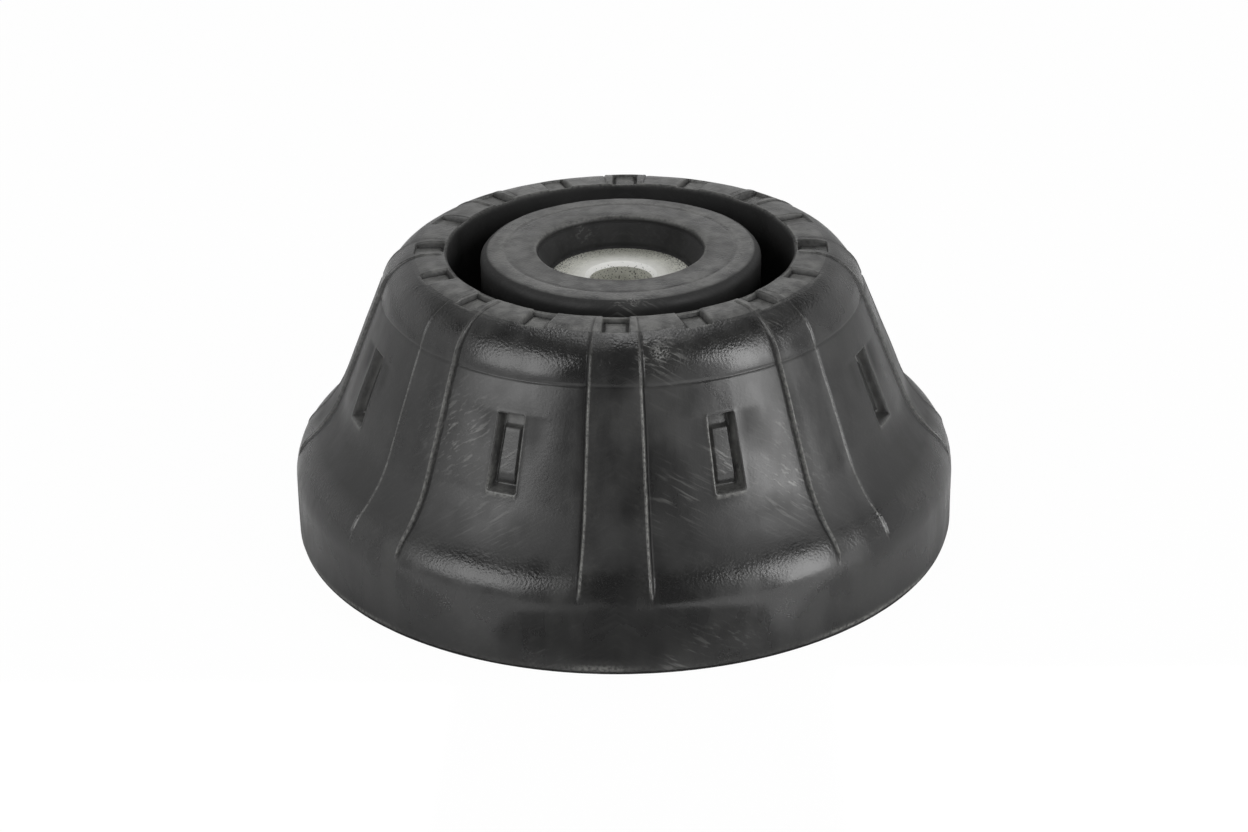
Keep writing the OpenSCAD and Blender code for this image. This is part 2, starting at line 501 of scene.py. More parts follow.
    def _noises(
        self, tree: bpy.types.NodeTree, place: bpy.types.NodeSocket
    ) -> dict[str, bpy.types.NodeSocket]:
        """Adds the noises that the skin is made of.

        Args:
            tree: The material's tree.
            place: The coordinates.

        Returns:
            The noises' values, by name.
        """
        drawn = {"Vector": place, "Scale": (1, 1, self.smear_stretch)}
        drawn = add(tree, "ShaderNodeMapping", None, drawn).outputs[0]
        mirrored = add(tree, VECTOR, {"operation": "ABSOLUTE"}, {0: place}).outputs[0]
        slanted = {
            "Vector": mirrored,
            "Rotation": (0, -math.radians(self.stroke_slant), 0),
            "Scale": (1, 1, self.stroke_stretch),
        }
        slanted = add(tree, "ShaderNodeMapping", {"vector_type": "TEXTURE"}, slanted).outputs[0]
        noises = {}
        for name, vector, size, detail in (
            ("cloud", place, self.cloud_mm, 5.0),
            ("smear", drawn, self.smear_mm, 4.0),
            ("grain", place, self.grain_mm, 2.0),
            ("peel", place, self.peel_mm, 2.0),
            ("scratch", place, self.scratch_mm, 3.0),
            ("stroke", slanted, self.stroke_mm, 2.0),
        ):
            feeds = {"Vector": vector, "Scale": per_mm(size), "Detail": detail}
            noises[name] = add(tree, NOISE, None, feeds).outputs[0]
        return noises


@dataclass(frozen=True)
class ZincPlatedSteel:
    """Turned steel with a clear-passivated zinc plate.

    To the eye it is a pale grey metal, faintly warm, with a soft sheen, fine turning rings, a crystalline
    mottle and dark specks of rubber left by the moulding. The far side of the top and the bore are painted
    darker as shade. The chamfer is painted near white, partly bare metal and partly a painted highlight, and
    a painted sheen brightens the top towards the bore.
    """

    bright: str = "#f2f2e8"
    dull: str = "#d6d6cc"
    painted_shade_grey: str = "#94948a"
    bare: str = "#fcfcf8"
    speck: str = "#34342f"
    mottle_mm: float = 1.4
    turning_mm: float = 0.35
    turning_share: float = 0.5
    speck_mm: float = 0.36
    top_start_mm: float = 40.0
    bump: float = 0.15
    bump_mm: float = 0.05
    metallic: Ramp = Ramp(0.0, 1.0, 0.3, 0.0)
    gloss: Ramp = Ramp(0.0, 1.0, 0.32, 0.52)
    brightness: Ramp = Ramp(0.5, 1.0)
    far_side_shade: Ramp = Ramp(7.0 * MM, 12.0 * MM, 0.0, 0.75)
    bore_shade: Ramp = Ramp(6.15 * MM, 6.6 * MM, 0.3, 0.0)
    bore_specks: Ramp = Ramp(6.15 * MM, 6.6 * MM, 0.61, 0.72)
    rim_specks: Ramp = Ramp(9.0 * MM, 13.7 * MM, 0.72, 0.5)
    dirt: Ramp = Ramp(0.0, 0.05, 0.0, 0.85)

    def material(self) -> bpy.types.Material:
        """Builds the material.

        Returns:
            The steel's material.
        """
        steel = bpy.data.materials.new("zinc_plated_steel")
        steel.use_nodes = True
        tree = steel.node_tree
        shader = tree.nodes["Principled BSDF"]
        place = add(tree, "ShaderNodeTexCoord").outputs["Object"]
        bare = add(tree, "ShaderNodeAttribute", {"attribute_name": "bare"}).outputs["Fac"]
        mottle = {"Vector": place, "Scale": per_mm(self.mottle_mm), "Detail": 4.0}
        mottle = add(tree, NOISE, None, mottle).outputs[0]

        # Turning leaves fine rings about the bore
        level = add(tree, VECTOR, MULTIPLY, {0: place, 1: (1, 1, 0)}).outputs[0]
        out = add(tree, VECTOR, {"operation": "LENGTH"}, {0: level}).outputs["Value"]
        rings = {"W": out, "Scale": per_mm(self.turning_mm), "Detail": 2.0}
        rings = add(tree, NOISE, {"noise_dimensions": "1D"}, rings).outputs[0]
        blend = add(tree, MATH, MULTIPLY_ADD, {0: rings, 1: self.turning_share, 2: mottle}).outputs[0]
        share = add(tree, RAMP, None, self.brightness.feeds(blend)).outputs[0]

        # The far side of the top is painted darker as the recess wall's shade, and the bore is painted darker
        # as shade
        parts = add(tree, "ShaderNodeSeparateXYZ", None, {0: place}).outputs
        on_top = {0: parts["Z"], 1: self.top_start_mm * MM}
        on_top = add(tree, MATH, {"operation": "GREATER_THAN"}, on_top).outputs[0]
        side = add(tree, RAMP, None, self.far_side_shade.feeds(parts["Y"])).outputs[0]
        far_side_shade = add(tree, MATH, MULTIPLY, {0: side, 1: on_top}).outputs[0]
        inside = add(tree, RAMP, None, self.bore_shade.feeds(out)).outputs[0]

        # Specks gather towards the rubber and at the bore's edge
        dots = {"Vector": place, "Scale": per_mm(self.speck_mm), "Detail": 1.0}
        dots = add(tree, NOISE, None, dots).outputs[0]
        at_rim = add(tree, RAMP, None, self.rim_specks.feeds(out)).outputs[0]
        at_bore = add(tree, RAMP, None, self.bore_specks.feeds(out)).outputs[0]
        least = add(tree, MATH, {"operation": "MINIMUM"}, {0: at_rim, 1: at_bore}).outputs[0]
        over = add(tree, MATH, {"operation": "SUBTRACT"}, {0: dots, 1: least}).outputs[0]
        dirt = add(tree, RAMP, None, self.dirt.feeds(over)).outputs[0]
        # The darker grey is painted shade, and the near-white colour of the chamfer is partly a painted
        # highlight
        colour = linear(self.dull)
        for cover, tone in (
            (share, self.bright),
            (far_side_shade, self.painted_shade_grey),
            (inside, self.painted_shade_grey),
            (bare, self.bare),
            (dirt, self.speck),
        ):
            layers = {SHARE: cover, FIRST: colour, SECOND: linear(tone)}
            colour = add(tree, MIX, COLOURS, layers).outputs[MIXED]

        gloss = add(tree, RAMP, None, self.gloss.feeds(mottle)).outputs[0]
        metal = add(tree, RAMP, None, self.metallic.feeds(bare)).outputs[0]
        relief = {"Strength": self.bump, "Distance": self.bump_mm * MM, "Height": mottle}
        relief = add(tree, "ShaderNodeBump", None, relief).outputs[0]
        tree.links.new(metal, shader.inputs["Metallic"])
        tree.links.new(colour, shader.inputs["Base Color"])
        tree.links.new(gloss, shader.inputs["Roughness"])
        tree.links.new(relief, shader.inputs["Normal"])
        return steel


@dataclass
class SteelCore:
    """The bush that the piston rod passes, with the flange that the bearing bears on."""

    bore_r: float = 6.1
    bore_chamfer: float = 0.8
    hub_r: float = 13.7
    flange_r: float = 30.0
    flange_foot_h: float = 18.0
    flange_top_h: float = 22.0
    top_h: float = 50.8
    edge_round_r: float = 0.25
    bore_round_r: float = 0.3
    edge_steps: int = 4
    sectors: int = 8
    lines_per_sector: int = 16
    weld_mm: float = 0.001
    ring_lines: tuple = (7.4, 8.0, 9.0, 10.5, 12.0)
    bore_skin: float = 0.02
    chamfer_margin: float = 0.1
    sheen_ring: float = 0.6
    sheen_fade: Rise = Rise(7.2, 11.0)

    def section(self) -> np.ndarray:
        """Draws the closed section.

        Returns:
            Radius and height of its points, counter-clockwise.
        """
        chamfer_r = self.bore_r + self.bore_chamfer
        corners = [
            (chamfer_r, self.flange_foot_h),
            (self.flange_r, self.flange_foot_h),
            (self.flange_r, self.flange_top_h),
            (self.hub_r, self.flange_top_h),
            (self.hub_r, self.top_h),
            (chamfer_r, self.top_h),
            (self.bore_r, self.top_h - self.bore_chamfer),
            (self.bore_r, self.flange_foot_h + self.bore_chamfer),
        ]
        line = []
        for i, corner in enumerate(corners):
            ahead = corners[(i + 1) % len(corners)]
            radius = self.bore_round_r if corner[0] <= chamfer_r else self.edge_round_r
            line += round_corner(corners[i - 1], corner, ahead, radius, self.edge_steps)
        return np.array(with_levels(line, 0, self.ring_lines))

    def build(self, ring: SectorRing, finish: bpy.types.Material) -> bpy.types.Object:
        """Makes the core.

        Args:
            ring: The tree that repeats a sector.
            finish: The core's material.

        Returns:
            The piece.
        """
        line = self.section()
        angles = np.linspace(0, 2 * math.pi / self.sectors, self.lines_per_sector + 1)
        radius = np.repeat(line[:, :1], len(angles), 1)
        height = np.repeat(line[:, 1:], len(angles), 1)
        angle = np.repeat(angles[None, :], len(line), 0)
        still = np.zeros_like(radius)

        # The chamfer is painted near white, partly bare metal and partly a painted highlight, and a painted
        # sheen on the top fades from the bore towards the rubber
        from_bore = radius - self.bore_r
        beside = np.where(from_bore > self.bore_skin, self.sheen_ring * (1 - self.sheen_fade.at(radius)), 0.0)
        on_chamfer = (from_bore > self.bore_skin) & (from_bore < self.bore_chamfer + self.chamfer_margin)
        bare = np.where(on_chamfer, 1.0, beside)
        sector = sector_mesh(
            "core_sector",
            turned_points(radius, height, angle),
            {"skin": still, "flash": still, "bare": bare},
        )
        sizes = {"Count": self.sectors, "Weld": self.weld_mm * MM, "Finish": finish}
        return ring.make("turned_core", sector, sizes)


@dataclass(frozen=True)
class Scuff:
    """A rubbed patch on the body: where it is, its size in millimetres and its strength."""

    angle: float
    radius: float
    height: float
    size: float
    strength: float


# Rubbed patches that show, angles from the front strip towards the right
SCUFFS = (
    Scuff(10.6, 43.8, 53.8, 3.8, 1.0),
    Scuff(6.5, 25.3, 56.2, 2.9, 1.0),
    Scuff(-150.0, 16.0, 54.6, 1.8, 0.3),
    Scuff(41.0, 42.3, 55.0, 2.0, 0.6),
    Scuff(-33.0, 51.0, 37.5, 6.5, 0.7),
    Scuff(-24.0, 56.6, 24.5, 5.0, 0.35),
    Scuff(36.6, 51.3, 37.3, 3.5, 0.45),
    Scuff(22.0, 50.5, 34.5, 3.4, 0.7),
    Scuff(-22.8, 50.3, 35.0, 2.8, 0.4),
    Scuff(34.5, 55.0, 28.5, 5.5, 0.75),
    Scuff(12.0, 54.2, 30.0, 4.5, 0.4),
    Scuff(172.0, 24.0, 56.7, 5.0, 0.4),
    Scuff(150.0, 52.0, 36.0, 6.0, 0.3),
    Scuff(-118.0, 55.0, 28.0, 7.0, 0.25),
    Scuff(105.0, 64.5, 12.0, 6.0, 0.2),
    Scuff(-12.5, 64.8, 1.8, 2.0, 0.6),
    Scuff(9.7, 64.8, 1.5, 2.4, 0.6),
    Scuff(14.0, 64.9, 5.5, 2.2, 0.35),
    Scuff(19.5, 64.9, 6.0, 2.8, 0.4),
    Scuff(-95.0, 64.8, 1.8, 3.0, 0.7),
    Scuff(140.0, 64.8, 1.6, 3.4, 0.8),
)


@dataclass(frozen=True)
class WornEdge:
    """A stretch of the foot's edge that is worn pale: its angles, height, thickness and strength."""

    first: float
    last: float
    height: float
    thickness: float
    strength: float


# Worn stretches of the foot, angles from the front strip towards the right
WORN_EDGES = (
    WornEdge(-7.0, 1.0, 1.2, 0.6, 0.9),
    WornEdge(35.0, 63.0, 1.1, 0.35, 0.8),
    WornEdge(-74.0, -40.0, 1.1, 0.3, 0.6),
    WornEdge(120.0, 150.0, 1.1, 0.35, 0.5),
)


@dataclass(frozen=True)
class SideHighlight:
    """An upright edge of a window with a painted highlight: its angle, ends, thickness and strength."""

    angle: float
    bottom: float
    top: float
    thickness: float
    strength: float


# Painted highlights on upright window edges, angles from the front strip towards the right
SIDE_HIGHLIGHTS = (
    SideHighlight(19.5, 30.0, 42.0, 0.3, 0.9),
    SideHighlight(-19.5, 31.0, 42.0, 0.25, 0.45),
    SideHighlight(-25.5, 29.6, 32.5, 0.3, 0.5),
    SideHighlight(160.5, 30.0, 41.0, 0.3, 0.7),
)


@dataclass(frozen=True)
class GridLines:
    """Where the body's grid lines lie.

    They are heights and radii, or distances from a detail, in millimetres. Each arc has its
    number of straight pieces.
    """

    foot: tuple = (1.1, 1.6, 2.2, 3.5, 5.5)
    window_end: tuple = (-1.0, -0.5, -0.25, -0.1, 0.0, 0.1, 0.25, 0.5, 1.0)
    window_share: tuple = (0.2, 0.38, 0.56, 0.72)
    pad_head: tuple = (-0.5, -0.2, 0.1, 0.4)
    parting: tuple = (-0.6, -0.25, -0.1, 0.05, 0.2, 0.55)
    notch_end: tuple = (-0.5, -0.25, -0.1, 0.0, 0.1, 0.25, 0.5)
    notch_lip: tuple = (0.0, 0.1, 0.25, 0.5, 0.9, 2.0, 3.4)
    opening: tuple = (43.0, 47.0, 52.0, 54.5, 55.6)
    buffer_wall: tuple = (43.0, 48.0, 52.0, 54.0)
    mouth_line: tuple = (-2.0, -0.55, -0.3, -0.15, 0.0, 0.15, 0.3)
    seat: tuple = (0.12, 0.3, 0.5, 0.8, 1.2)
    buffer_line: tuple = (-0.7, -0.3, 0.0, 0.3, 0.7)
    buffer_top: tuple = (18.5, 20.5, 24.4)
    recess_wall: tuple = (5.0, 9.0)
    recess_ceiling: tuple = (0.6, 6.0)
    recess_foot_w: float = 0.5
    recess_foot_h: float = 2.0
    top_start: float = 1.0
    turn_start: float = 1.0
    turn_end: float = 2.0
    ring_w: float = 4.0
    recess_mouth_arc: int = 3
    foot_arc: int = 2
    step_arc: int = 3
    skirt_arc: int = 10
    flare_arc: int = 6
    top_arc: int = 12
    rim_arc: int = 4
    floor_arc: int = 5
    buffer_arc: int = 7
    mouth_arc: int = 5
    ceiling_arc: int = 5
    notch_side: tuple = (-1.4, -0.8, -0.5, -0.25, -0.1, 0.02, 0.14, 0.3)
    strip_side: tuple = (-0.5, -0.3, -0.16, -0.04, 0.08, 0.2, 0.34, 0.55, 0.95)
    panel_share: tuple = (0.12, 0.3, 0.5, 0.7, 0.88)
    window_side: tuple = (
        1.1, 0.6, 0.35, 0.18, 0.06, -0.06, -0.18, -0.32, -0.55, -0.85, -1.05, -1.25, -1.5,
    )


@dataclass(frozen=True)
class SkinMarks:
    """Soft edges of the body's details, and how far its marks are pale with flash or painted highlight, dull
    and painted dark as shade, or dusty.
    """

    strip_foot: Rise = Rise(-0.8, 1.4)
    strip_ledge: Rise = Rise(17.0, 24.0)
    strip_ledge_share: float = 0.4
    strip_top: Rise = Rise(50.0, 56.4)
    strip_lip: Rise = Rise(-0.1, 0.5)
    strip_edge: Rise = Rise(-0.14, 0.14)
    crease: Line = Line(-0.3, 0.19)
    crease_end: Rise = Rise(0.05, 0.25)
    flash: Line = Line(0.1, 0.24)
    flash_ridge: Line = Line(0.06, 0.17)
    flash_end: Rise = Rise(0.05, 0.3)
    flash_fade: Rise = Rise(47.0, 51.0)
    flash_fade_share: float = 0.5
    parting: Line = Line(0.0, 0.24, 0.2)
    buffer_line: Line = Line(0.0, 0.25, 0.12)
    buffer_ridge: Line = Line(0.6, 0.3, 0.5)
    mouth_line: Line = Line(0.0, 0.2)
    mouth_line_depth: float = 0.32
    seat_groove: Line = Line(0.4, 0.3, 0.4)
    window_side: Rise = Rise(-0.15, 0.45)
    window_end: Rise = Rise(-0.2, 0.25)
    window_wall: Rise = Rise(0.02, 0.4)
    pad_side: Rise = Rise(-0.2, 0.2)
    pad_foot: Rise = Rise(-0.25, 0.25)
    pad_head: Rise = Rise(-0.4, 0.5)
    pad_pale: float = 0.04
    brim: Line = Line(-0.12, 0.3)
    brim_pale: float = 0.15
    sill_flash_and_highlight: Line = Line(-0.5, 0.28, 0.75)
    sill_side: Rise = Rise(-0.4, 0.2)
    sink_head: Rise = Rise(-0.6, 0.8)
    sink_full_share: float = 0.4
    sink_shade: float = 0.7
    notch_edge: Rise = Rise(-0.14, 0.14)
    notch_start: Rise = Rise(-0.1, 0.12)
    notch_end: Rise = Rise(-0.12, 0.14)
    notch_moat: Rise = Rise(0.3, 0.8)
    notch_side: Line = Line(0.0, 0.2, 0.25)
    notch_ridge: Line = Line(0.2, 0.25, 0.5)
    notch_floor_pale: float = 0.3
    rim_highlight: Line = Line(0.42, 0.28, 0.7)
    mouth_lip_highlight: Line = Line(0.15, 0.4, 0.45)
    foot_edge: Line = Line(1.0, 0.55, 0.15)
    level: Rise = Rise(0.92, 0.995)
    mouth_level: Rise = Rise(0.5, 0.75)
    inner_matt_and_shade: float = 0.75
    shade_matt: float = 0.8
    flare: Band = Band(18.5, 21.0, 25.0, 29.0)
    flare_matt: float = 0.36
    mouth_matt: float = 0.4
    top_polish: Band = Band(48.9, 49.8, 54.0, 56.0)
    skirt_polish: Band = Band(8.0, 12.0, 17.5, 20.0)
    skirt_polish_share: float = 0.8
    polish: float = 0.24
    buffer_dust: float = 0.65
    wall_dust: float = 0.5
    fine_grain: float = 0.35
    coarse_grain: float = 1.6
    coarse_start: Rise = Rise(0.35, 0.62)
    handling: float = 0.03
    side_flash_loss: float = 0.6
    side_dust_loss: float = 0.3
    worn_turn: Rise = Rise(-3.0, 3.0)
    highlight_ends: Rise = Rise(-1.0, 1.0)


@dataclass
class Skin:
    """One sector's grid while it is shaped: its bare places, its new ones and its marks."""

    radius: np.ndarray
    height: np.ndarray
    angle: np.ndarray
    normal_r: np.ndarray
    normal_h: np.ndarray
    zone: np.ndarray
    new_r: np.ndarray
    new_h: np.ndarray
    flash_and_highlight: np.ndarray
    shaded: np.ndarray
    walls: np.ndarray

    def on(self, *zones: Zone) -> np.ndarray:
        """Tells which points lie on any of the zones."""
        return np.isin(self.zone, [zone.value for zone in zones])

    def push(self, out: np.ndarray) -> None:
        """Moves the points outwards along the bare body's normals."""
        self.new_r = self.new_r + out * self.normal_r
        self.new_h = self.new_h + out * self.normal_h

    def shade(self, amount: np.ndarray) -> None:
        """Paints shade on the points, darkening them to at least the given amounts."""
        self.shaded = np.maximum(self.shaded, amount)


@dataclass
class RubberInsulator:
    """The moulded body: cone with raised strips and windows, notched ring, buffer ring and skirt."""

    hub_r: float = 13.7
    mouth_r: float = 16.4
    buffer_r: float = 27.1
    opening_r: float = 33.5
    notch_r: float = 34.2
    notch_end_r: float = 39.8
    ring_r: float = 43.4
    flange_r: float = 30.0
    ring_h: float = 56.8
    buffer_top_h: float = 56.7
    core_top_h: float = 50.8
    gap_floor_h: float = 34.8
    flange_top_h: float = 22.0
    recess_h: float = 18.0
    cone_angle: float = 22.1
    cone_foot_h: float = 23.1
    skirt_h: float = 16.1
    ledge_w: float = 8.1
    foot_h: float = 0.6
    foot_inset: float = 0.2
    rim_w: float = 19.0
    recess_edge_r: float = 47.0
    recess_draft: float = 12.0
    top_round_r: float = 10.0
    flare_r: float = 24.0
    skirt_round_r: float = 10.0
    rim_round_r: float = 0.6
    buffer_round_r: float = 2.0
    mouth_round_r: float = 0.8
    recess_round_r: float = 3.0
    edge_round_r: float = 0.3
    foot_round_r: float = 0.18
    strips: int = 8
    strip_half_angle: float = 5.85
    strip_proud: float = 0.45
    strip_ring_proud: float = 0.15
    strip_foot_h: float = 15.6
    crease_depth: float = 0.28
    flash_h: float = 0.16
    notch_w: float = 5.0
    notch_depth: float = 1.0
    notch_reach: float = 2.5
    lip_drop: float = 0.3
    lip_w: float = 0.2
    notch_moat_depth: float = 0.3
    window_angle: float = 5.9
    window_sill_h: float = 29.6
    window_head_h: float = 42.6
    window_depth: float = 2.4
    window_brim_h: float = 0.08
    window_pad_h: float = 0.7
    window_pad_inset: float = 0.8
    window_pad_drop: float = 2.6
    sink_depth: float = 0.16
    sink_w: float = 1.7
    sink_h: float = 8.0
    parting_h: float = 48.6
    buffer_line_r: float = 22.3
    mouth_line_h: float = 55.55
    flat_play: float = 0.1
    mouth_lip_w: float = 1.2
    mouth_lip_h: float = 0.75
    seat_wall_w: float = 0.2
    seat_wall_drop: float = 0.3
    foot_play: float = 0.05
    foot_edge_h: float = 4.0
    rim_edge_h: float = 0.7
    still_h: float = 0.5
    highlight_depth: float = 1.0
    gap_play: float = 0.01
    weld_mm: float = 0.002
    wobble_mm: float = 0.35
    wobble_wave_mm: float = 9.0
    flash_lump_mm: float = 0.1
    flash_wave_mm: float = 3.0
    seed: float = 7.0
    lines: GridLines = GridLines()
    marks: SkinMarks = SkinMarks()

    def cone_r(self, height: float) -> float:
        """Gives the radius of the bare cone at a height."""
        return self.ring_r + (self.ring_h - height) * math.tan(math.radians(self.cone_angle))

    def section(self) -> tuple[np.ndarray, list[Zone]]:
        """Draws the closed section of the bare body, with grid lines gathered at its details.

        Returns:
            Radius and height of its points, counter-clockwise from the rim under the skirt,
            and the zone of each point.
        """
        cone_foot_r = self.cone_r(self.cone_foot_h)
        skirt_r = cone_foot_r + self.ledge_w
        foot_r = skirt_r - self.foot_inset
        recess_r = skirt_r - self.rim_w
        recess_top_r = recess_r - self.recess_h * math.tan(math.radians(self.recess_draft))
        recess_mouth, foot, ceiling = (recess_r, 0), (foot_r, 0), (recess_top_r, self.recess_h)
        lines, step = self.lines, (foot_r, self.foot_h)
        foot_line = round_corner(ceiling, recess_mouth, foot, 2 * self.edge_round_r, lines.recess_mouth_arc)
        foot_line += round_corner(recess_mouth, foot, step, self.edge_round_r / 2, lines.foot_arc)
        foot_line += [np.array(step)]
        outside, rim_line = self._outside(foot_r, skirt_r, cone_foot_r)
        opening, buffer = self._gap(rim_line)
        bond = [
            (self.hub_r, self.core_top_h),
            (self.hub_r, self.flange_top_h),
            (self.flange_r, self.flange_top_h),
            (self.flange_r, self.recess_h),
        ]
        under = [np.array((self.flange_r + d, self.recess_h)) for d in lines.recess_ceiling]
        under += round_corner(bond[-1], ceiling, recess_mouth, self.recess_round_r, lines.ceiling_arc)
        under += [np.array((recess_r - lines.recess_foot_w, lines.recess_foot_h))]
        under = with_levels(under, 1, lines.recess_wall)
        parts = [
            (Zone.UNDERSIDE, foot_line),
            (Zone.OUTSIDE, outside),
            (Zone.OPENING, opening),
            (Zone.BUFFER, buffer),
            (Zone.BOND, bond),
            (Zone.UNDERSIDE, under),
        ]
        line = np.array([point for _, points in parts for point in points], float)
        zones = [zone for zone, points in parts for _ in points]
        return line, zones

    def _outside(self, foot_r: float, skirt_r: float, cone_foot_r: float) -> tuple[list, list]:
        """Draws the section's outside, from the foot to the opening's rim.

        Args:
            foot_r: Radius of the foot step.
            skirt_r: Radius of the skirt.
            cone_foot_r: Radius of the bare cone at its foot.

        Returns:
            The points of the outside, and those of the rim's rounding.
        """
        lines = self.lines
        step, skirt_foot = (foot_r, self.foot_h), (skirt_r, self.foot_h)
        skirt_corner, cone_foot = (skirt_r, self.skirt_h), (cone_foot_r, self.cone_foot_h)
        ring_corner, rim = (self.ring_r, self.ring_h), (self.opening_r, self.ring_h)
        outside = round_corner(step, skirt_foot, skirt_corner, self.foot_round_r, lines.step_arc)
        outside += round_corner(skirt_foot, skirt_corner, cone_foot, self.skirt_round_r, lines.skirt_arc)
        outside += round_corner(skirt_corner, cone_foot, ring_corner, self.flare_r, lines.flare_arc)
        outside += round_corner(cone_foot, ring_corner, rim, self.top_round_r, lines.top_arc)
        window_h = self.window_head_h - self.window_sill_h
        levels = list(lines.foot)
        for height in (self.window_sill_h, self.window_head_h):
            levels += [height + d for d in lines.window_end]
        levels += [self.window_sill_h + window_h * share for share in lines.window_share]
        levels += [self.window_head_h - self.window_pad_drop + d for d in lines.pad_head]
        levels += [self.parting_h + d for d in lines.parting]
        outside = with_levels(outside, 1, levels)
        gap_mouth = (self.opening_r, self.gap_floor_h)
        rim_line = round_corner(ring_corner, rim, gap_mouth, self.rim_round_r, lines.rim_arc)
        crossings = [self.notch_end_r + d for d in lines.notch_end]
        crossings += [self.notch_r + d for d in lines.notch_lip]
        top = [i for i, point in enumerate(outside) if point[1] > self.parting_h + lines.top_start][0]
        return outside[:top] + with_levels(outside[top:] + rim_line[:1], 0, crossings), rim_line

    def _gap(self, rim_line: list) -> tuple[list, list]:
        """Draws the section's travel gap and the buffer ring inside it.

        Args:
            rim_line: The points of the opening's rounded rim.

        Returns:
            The points of the gap's outer wall, and those of the buffer ring.
        """
        lines = self.lines
        floor_r = (self.opening_r - self.buffer_r) / 2 - self.gap_play
        rim, buffer_edge = (self.opening_r, self.ring_h), (self.buffer_r, self.buffer_top_h)
        gap_mouth, gap_foot = (self.opening_r, self.gap_floor_h), (self.buffer_r, self.gap_floor_h)
        mouth, seat = (self.mouth_r, self.buffer_top_h), (self.hub_r, self.core_top_h)
        opening = rim_line[1:] + round_corner(rim, gap_mouth, gap_foot, floor_r, lines.floor_arc)
        opening = with_levels(opening, 1, lines.opening)
        wall = round_corner(gap_mouth, gap_foot, buffer_edge, floor_r, lines.floor_arc)
        wall += round_corner(gap_foot, buffer_edge, mouth, self.buffer_round_r, lines.buffer_arc)
        wall += round_corner(buffer_edge, mouth, seat, self.mouth_round_r, lines.mouth_arc)
        wall = with_levels(wall, 1, lines.buffer_wall)
        steps = [self.mouth_line_h + d for d in lines.mouth_line]
        steps += [self.core_top_h + d for d in lines.seat]
        wall += with_levels(wall[-1:] + [np.array(seat, float)], 1, steps)[1:-1]
        circles = [self.buffer_line_r + d for d in lines.buffer_line] + list(lines.buffer_top)
        return opening, with_levels(wall, 0, circles)

    def angles(self, radius: float, height: float) -> np.ndarray:
        """Gives the grid lines' angles across one sector, from strip middle to strip middle.

        The lines follow the sides of the notch and of the strip, then those of the next
        notch on the ring, which turn into those of the window below it.

        Args:
            radius: Distance from the axis at one point of the section.
            height: Height of that point.

        Returns:
            The angles, in radians.
        """
        lines, reach = self.lines, max(radius, self.notch_r)
        half_notch = self.notch_w / 2
        half_strip, half_window = math.radians(self.strip_half_angle), math.radians(self.window_angle / 2)
        notch = [math.asin((half_notch + d) / reach) for d in lines.notch_side]
        strip = [half_strip + d / reach for d in lines.strip_side]
        start, end = self.window_head_h + lines.turn_start, self.ring_h - lines.turn_end
        as_ring = float(smooth(start, end, np.array(height)))
        if radius < self.ring_r - lines.ring_w:
            as_ring = 1.0
        middle = math.pi / self.strips
        window = []
        for d in lines.window_side:
            on_ring = math.asin((half_notch + d) / reach)
            window.append(middle - on_ring * as_ring - (half_window + d / reach) * (1 - as_ring))
        panel = [strip[-1] + (window[0] - strip[-1]) * share for share in lines.panel_share]
        half = [0.0] + notch + strip + panel + window + [middle]
        return np.array(half + [2 * middle - a for a in half[-2::-1]])

    def grid(self) -> tuple[np.ndarray, dict[str, np.ndarray]]:
        """Shapes one sector of the body.

        Returns:
            The grid's points, in metres, and its attributes: skin, which may wander; flash, where the tool's
            joints leave a ragged edge and where rims and edges carry painted highlights;
            matt_and_painted_shade, which dulls the skin and darkens it towards a painted shade black in
            recesses, gaps, creases, grooves, moats, sinks and at the foot, and is below 0 where the skin is
            polished; dust; and grain, how rough the skin is to the light.
        """
        line, zones = self.section()
        step = np.roll(line, -1, 0) - np.roll(line, 1, 0)
        step /= np.linalg.norm(step, axis=1)[:, None]
        angle = np.array([self.angles(r, z) for r, z in line])
        numbers = np.array([zone.value for zone in zones])
        radius, height, normal_r, normal_h, zone = (
            np.repeat(values[:, None], angle.shape[1], 1)
            for values in (line[:, 0], line[:, 1], step[:, 1], -step[:, 0], numbers)
        )
        none = np.zeros_like(radius)
        skin = Skin(radius, height, angle, normal_r, normal_h, zone, radius, height, none, none, none)
        self._strips(skin)
        self._joints(skin)
        self._windows(skin)
        self._notches(skin)
        return turned_points(skin.new_r, skin.new_h, angle), self._attributes(skin)

    def _from_strip(self, skin: Skin) -> np.ndarray:
        """Gives the angle between each point and the nearer strip's middle."""
        return np.minimum(skin.angle, 2 * math.pi / self.strips - skin.angle)

    def _from_window(self, skin: Skin) -> np.ndarray:
        """Gives the angle between each point and the window's middle."""
        return np.abs(skin.angle - math.pi / self.strips)

    def _on_cone(self, skin: Skin) -> np.ndarray:
        """Tells which points lie outside, below the top ring."""
        return skin.on(Zone.OUTSIDE) & (skin.radius > self.ring_r)

